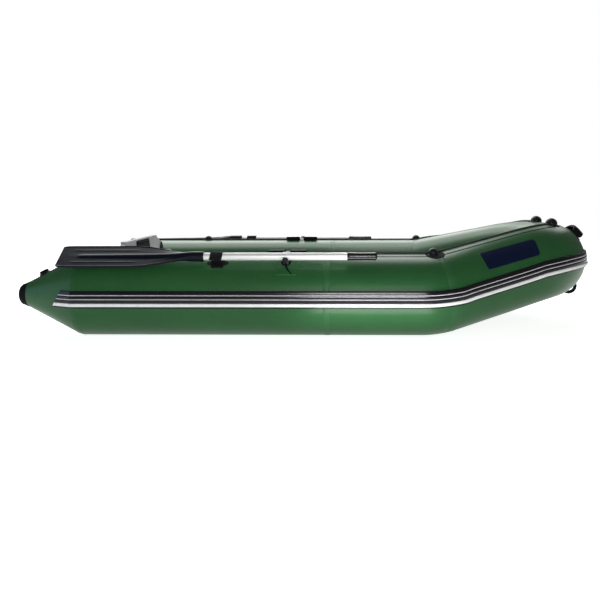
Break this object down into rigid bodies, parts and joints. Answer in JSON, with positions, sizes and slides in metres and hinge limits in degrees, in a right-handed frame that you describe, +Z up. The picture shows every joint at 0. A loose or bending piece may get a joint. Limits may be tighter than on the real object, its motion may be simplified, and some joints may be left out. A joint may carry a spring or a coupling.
{
  "type": "inflatable motor boat",
  "caption": "Inflatable boat with tapered stern tubes, transom for an outboard engine, slat floor, sliding benches and oars stowed on swivelling rowlocks",
  "frame": {"origin": "centre of the bounding box at the bottom of the tubes", "axes": "+X to the bow, +Z up, -Y is the starboard side"},
  "size_m": [2.7821, 1.4124, 0.5308],
  "materials": {
    "tube_fabric": "semi-gloss coated fabric",
    "bottom_fabric": "satin coated fabric",
    "black_rubber": "satin",
    "white_bead": "satin",
    "black_plastic": "satin",
    "blade_plastic": "satin",
    "aluminium_tube": "anodised",
    "steel": "brushed",
    "transom_wood": "painted plywood",
    "bench_wood": "varnished plywood",
    "floor_fabric": "woven",
    "rope": "twisted"
  },
  "bodies": {
    "hull": {"starboard_stern_tube": "tube_fabric", "starboard_mid_tube": "tube_fabric", "starboard_bow_tube": "tube_fabric", "starboard_cone_cap": "black_rubber", "starboard_strake": "black_rubber", "starboard_transom_holder": "black_rubber", "starboard_rowlock_base": "black_rubber", "starboard_oar_clip": "black_rubber", "starboard_strake_bead": "white_bead", "starboard_seat_rail": "black_plastic", "starboard_aft_line_fitting": "black_plastic", "starboard_forward_line_fitting": "black_plastic", "starboard_bow_line_fitting": "black_plastic", "starboard_valve_body": "black_plastic", "starboard_grab_line": "rope", "port_stern_tube": "tube_fabric", "port_mid_tube": "tube_fabric", "port_bow_tube": "tube_fabric", "port_cone_cap": "black_rubber", "port_strake": "black_rubber", "port_transom_holder": "black_rubber", "port_rowlock_base": "black_rubber", "port_oar_clip": "black_rubber", "port_strake_bead": "white_bead", "port_seat_rail": "black_plastic", "port_aft_line_fitting": "black_plastic", "port_forward_line_fitting": "black_plastic", "port_bow_line_fitting": "black_plastic", "port_valve_body": "black_plastic", "port_grab_line": "rope", "bottom_sheet": "bottom_fabric", "tow_eye_patch": "bottom_fabric", "slat_floor": "floor_fabric", "transom_board": "transom_wood", "inner_motor_pad": "black_rubber", "outer_motor_pad": "black_rubber", "bow_handle": "black_rubber", "bow_handle_patch": "black_rubber", "tow_eye": "black_rubber", "drain_valve_body": "black_plastic", "drain_valve_nut": "black_plastic"},
    "starboard_oar": {"starboard_rowlock_fork": "steel", "starboard_rowlock_bolt": "steel", "starboard_oar_shaft": "aluminium_tube", "starboard_oar_grip": "black_plastic", "starboard_oar_blade": "blade_plastic"},
    "starboard_knob": {"starboard_rowlock_knob": "black_plastic"},
    "starboard_valve_cap": {"starboard_valve_cap": "black_plastic"},
    "port_oar": {"port_rowlock_fork": "steel", "port_rowlock_bolt": "steel", "port_oar_shaft": "aluminium_tube", "port_oar_grip": "black_plastic", "port_oar_blade": "blade_plastic"},
    "port_knob": {"port_rowlock_knob": "black_plastic"},
    "port_valve_cap": {"port_valve_cap": "black_plastic"},
    "front_bench": {"front_bench": "bench_wood"},
    "rear_bench": {"rear_bench": "bench_wood"},
    "drain_plug": {"drain_plug": "black_plastic"}
  },
  "joints": [
    {"name": "starboard_rowlock_swivel", "type": "hinge", "parent": "hull", "child": "starboard_oar", "pos_m": [-0.11488, -0.63471, 0.37872], "axis": [0, -0.5664, 0.8241], "range_deg": [0, 120]},
    {"name": "starboard_knob_turn", "type": "hinge", "parent": "starboard_oar", "child": "starboard_knob", "pos_m": [-0.11488, -0.63471, 0.37872], "axis": [0, -0.8241, -0.5664], "continuous": true},
    {"name": "starboard_valve_cap_turn", "type": "hinge", "parent": "hull", "child": "starboard_valve_cap", "pos_m": [-1.26688, -0.50161, 0.28694], "axis": [-0.4531, 0.0311, 0.8909], "range_deg": [0, 90]},
    {"name": "port_rowlock_swivel", "type": "hinge", "parent": "hull", "child": "port_oar", "pos_m": [-0.11488, 0.63471, 0.37872], "axis": [0, -0.5664, -0.8241], "range_deg": [0, 120]},
    {"name": "port_knob_turn", "type": "hinge", "parent": "port_oar", "child": "port_knob", "pos_m": [-0.11488, 0.63471, 0.37872], "axis": [0, 0.8241, -0.5664], "continuous": true},
    {"name": "port_valve_cap_turn", "type": "hinge", "parent": "hull", "child": "port_valve_cap", "pos_m": [-1.26688, 0.50161, 0.28694], "axis": [-0.4531, -0.0311, 0.8909], "range_deg": [0, 90]},
    {"name": "rear_bench_slide", "type": "slide", "parent": "hull", "child": "rear_bench", "axis": [1, 0, 0], "range_m": [-0.12, 0.12]},
    {"name": "front_bench_slide", "type": "slide", "parent": "hull", "child": "front_bench", "axis": [1, 0, 0], "range_m": [-0.2, 0.2]},
    {"name": "drain_plug_pull", "type": "slide", "parent": "hull", "child": "drain_plug", "axis": [-0.9945, 0, -0.1045], "range_m": [0, 0.012]}
  ]
}
